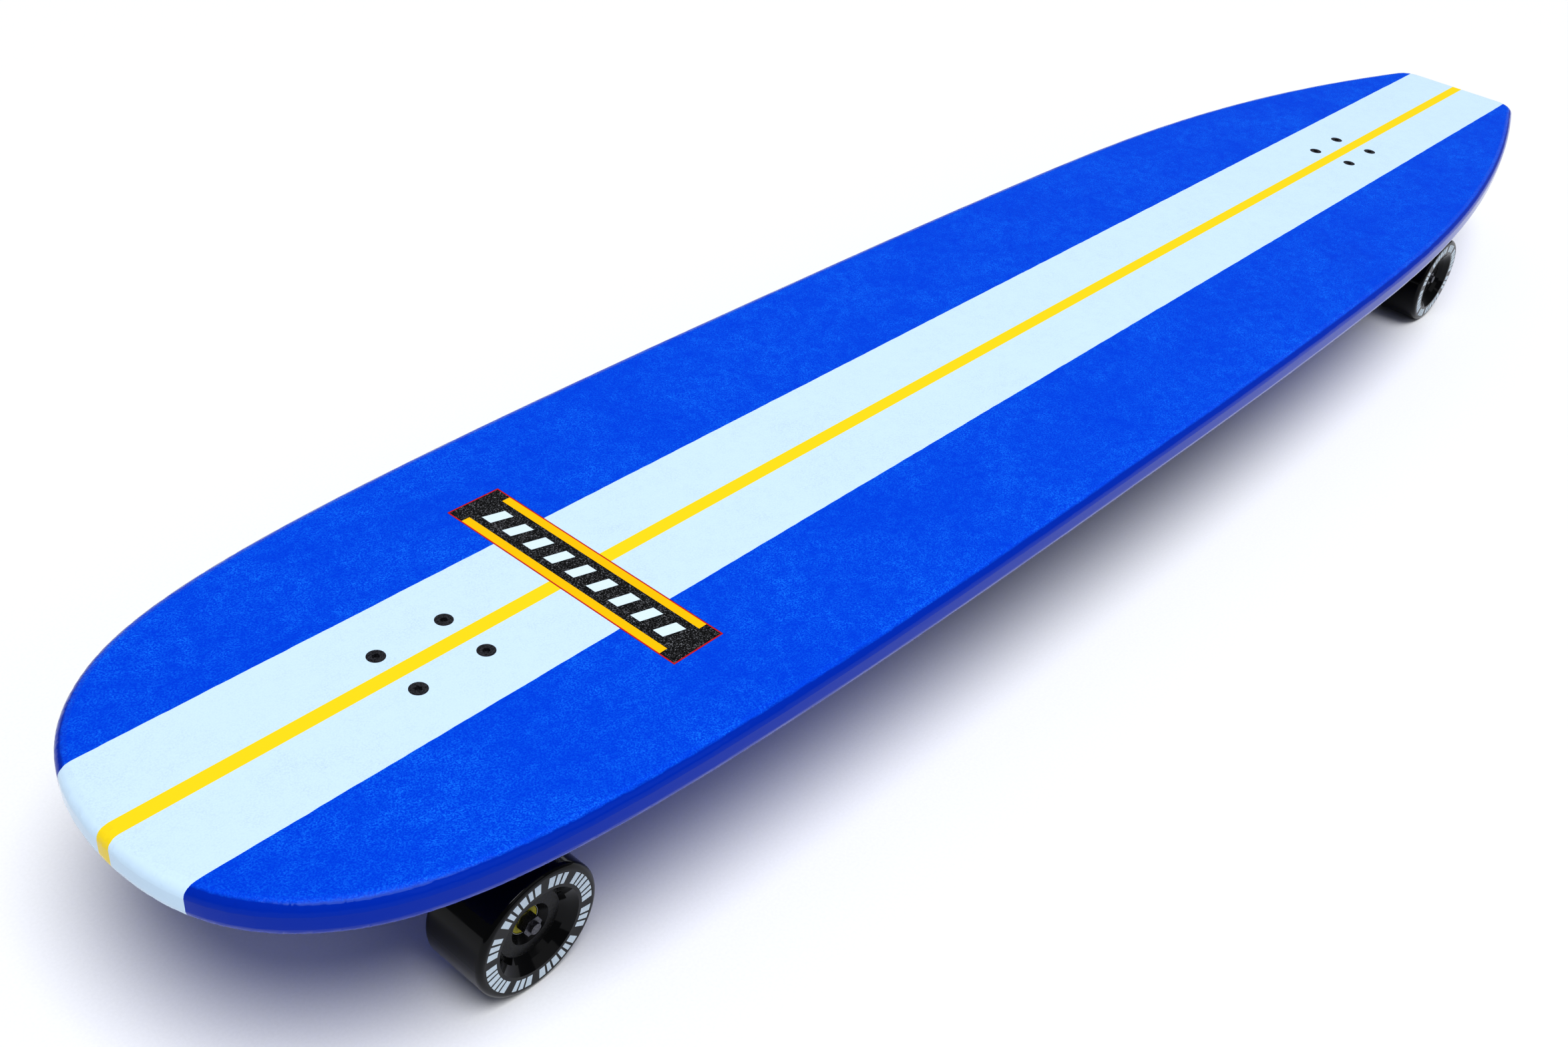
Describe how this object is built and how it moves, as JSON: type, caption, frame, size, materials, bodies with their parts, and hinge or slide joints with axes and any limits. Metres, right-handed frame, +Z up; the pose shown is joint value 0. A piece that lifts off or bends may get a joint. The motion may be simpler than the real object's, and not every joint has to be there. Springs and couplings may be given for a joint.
{
  "type": "electric skateboard",
  "caption": "Long surf-style electric skateboard: rounded nose, square tail, reverse-kingpin trucks, large urethane wheels, rear twin belt drive and an under-deck battery case.",
  "frame": {"origin": "on the floor, under the middle of the deck", "axes": "+X towards the nose, +Y towards the left of a rider facing the nose, +Z up"},
  "size_m": [1.88, 0.3812, 0.1669],
  "materials": {
    "deck_lacquer": "blue lacquer over a light core, clear grit on top",
    "grip_panel": "fine black grit",
    "riser_rubber": "matte",
    "truck_casting": "cast, blasted",
    "black_steel": "black oxide",
    "zinc_steel": "zinc plated",
    "bushing_urethane": "cast urethane",
    "cup_urethane": "cast urethane",
    "wheel_urethane": "gloss cast urethane",
    "core_plastic": "moulded",
    "bearing_steel": "ground steel with shields",
    "pulley_metal": "hobbed, anodised",
    "belt_rubber": "moulded",
    "mount_metal": "anodised black",
    "motor_can": "powder coat",
    "motor_copper": "copper windings",
    "case_plastic": "textured moulding",
    "case_foam": "closed cell",
    "cell_wrap": "shrink wrap",
    "heat_sink": "extruded, anodised",
    "button_metal": "brushed",
    "port_plastic": "moulded"
  },
  "bodies": {
    "board": {"deck": "deck_lacquer", "nose_panel": "grip_panel", "riser_pads": "riser_rubber", "deck_bolts": "black_steel", "deck_nuts": "zinc_steel", "pivot_cups": "cup_urethane", "kingpins": "zinc_steel", "kingpin_nuts": "zinc_steel", "bushing_washers": "zinc_steel", "case_shell": "case_plastic", "case_gasket": "case_foam", "case_screws": "black_steel", "battery_pack": "cell_wrap", "motor_controller": "heat_sink", "charge_port": "port_plastic", "cable_glands": "port_plastic", "front_baseplate": "truck_casting", "front_deck_side_bushing": "bushing_urethane", "front_road_side_bushing": "bushing_urethane", "rear_baseplate": "truck_casting", "rear_deck_side_bushing": "bushing_urethane", "rear_road_side_bushing": "bushing_urethane"},
    "front_truck": {"front_hanger": "truck_casting", "front_axle": "black_steel", "front_axle_nuts": "black_steel", "front_speed_rings": "zinc_steel", "front_bearing_spacers": "zinc_steel"},
    "rear_truck": {"rear_hanger": "truck_casting", "rear_axle": "black_steel", "rear_axle_nuts": "black_steel", "rear_speed_rings": "zinc_steel", "rear_bearing_spacers": "zinc_steel", "left_belt": "belt_rubber", "left_motor_mount": "mount_metal", "left_motor_stator": "motor_copper", "right_belt": "belt_rubber", "right_motor_mount": "mount_metal", "right_motor_stator": "motor_copper", "motor_screws": "black_steel"},
    "front_left_wheel": {"front_left_tyre": "wheel_urethane", "front_left_core": "core_plastic", "front_left_bearings": "bearing_steel"},
    "front_right_wheel": {"front_right_tyre": "wheel_urethane", "front_right_core": "core_plastic", "front_right_bearings": "bearing_steel"},
    "rear_left_wheel": {"rear_left_tyre": "wheel_urethane", "rear_left_core": "core_plastic", "rear_left_bearings": "bearing_steel", "left_wheel_pulley": "pulley_metal"},
    "rear_right_wheel": {"rear_right_tyre": "wheel_urethane", "rear_right_core": "core_plastic", "rear_right_bearings": "bearing_steel", "right_wheel_pulley": "pulley_metal"},
    "left_motor_rotor": {"left_motor_can": "motor_can", "left_motor_pulley": "pulley_metal"},
    "right_motor_rotor": {"right_motor_can": "motor_can", "right_motor_pulley": "pulley_metal"},
    "power_button": {"power_button": "button_metal"},
    "charge_cap": {"charge_cap": "cup_urethane"}
  },
  "joints": [
    {"name": "front_truck_lean", "type": "hinge", "parent": "board", "child": "front_truck", "pos_m": [0.76167, 0, 0.08978], "axis": [0.766, 0, 0.6428], "range_deg": [-18, 18], "stiffness_Nm_per_rad": 120, "deforming": ["front_deck_side_bushing", "front_road_side_bushing"]},
    {"name": "rear_truck_lean", "type": "hinge", "parent": "board", "child": "rear_truck", "pos_m": [-0.64777, 0, 0.08978], "axis": [-0.766, 0, 0.6428], "range_deg": [-18, 18], "stiffness_Nm_per_rad": 120, "deforming": ["rear_deck_side_bushing", "rear_road_side_bushing"]},
    {"name": "front_left_wheel_spin", "type": "hinge", "parent": "front_truck", "child": "front_left_wheel", "pos_m": [0.7467, 0.113, 0.0485], "axis": [0, 1, 0], "continuous": true},
    {"name": "front_right_wheel_spin", "type": "hinge", "parent": "front_truck", "child": "front_right_wheel", "pos_m": [0.7467, -0.113, 0.0485], "axis": [0, 1, 0], "continuous": true},
    {"name": "rear_left_wheel_spin", "type": "hinge", "parent": "rear_truck", "child": "rear_left_wheel", "pos_m": [-0.6328, 0.113, 0.0485], "axis": [0, 1, 0], "continuous": true},
    {"name": "rear_right_wheel_spin", "type": "hinge", "parent": "rear_truck", "child": "rear_right_wheel", "pos_m": [-0.6328, -0.113, 0.0485], "axis": [0, 1, 0], "continuous": true},
    {"name": "left_motor_spin", "type": "hinge", "parent": "rear_truck", "child": "left_motor_rotor", "pos_m": [-0.5482, 0.05, 0.0485], "axis": [0, 1, 0], "continuous": true},
    {"name": "right_motor_spin", "type": "hinge", "parent": "rear_truck", "child": "right_motor_rotor", "pos_m": [-0.5482, -0.05, 0.0485], "axis": [0, 1, 0], "continuous": true},
    {"name": "power_button_press", "type": "slide", "parent": "board", "child": "power_button", "axis": [0, 1, 0], "range_m": [0, 0.0015], "stiffness_N_per_m": 600},
    {"name": "charge_cap_open", "type": "hinge", "parent": "board", "child": "charge_cap", "pos_m": [-0.2, -0.104, 0.11], "axis": [1, 0, 0], "range_deg": [0, 110]}
  ],
  "couplings": [
    {"joint": "left_motor_spin", "follows": "rear_left_wheel_spin", "ratio": 2.4},
    {"joint": "right_motor_spin", "follows": "rear_right_wheel_spin", "ratio": 2.4}
  ]
}
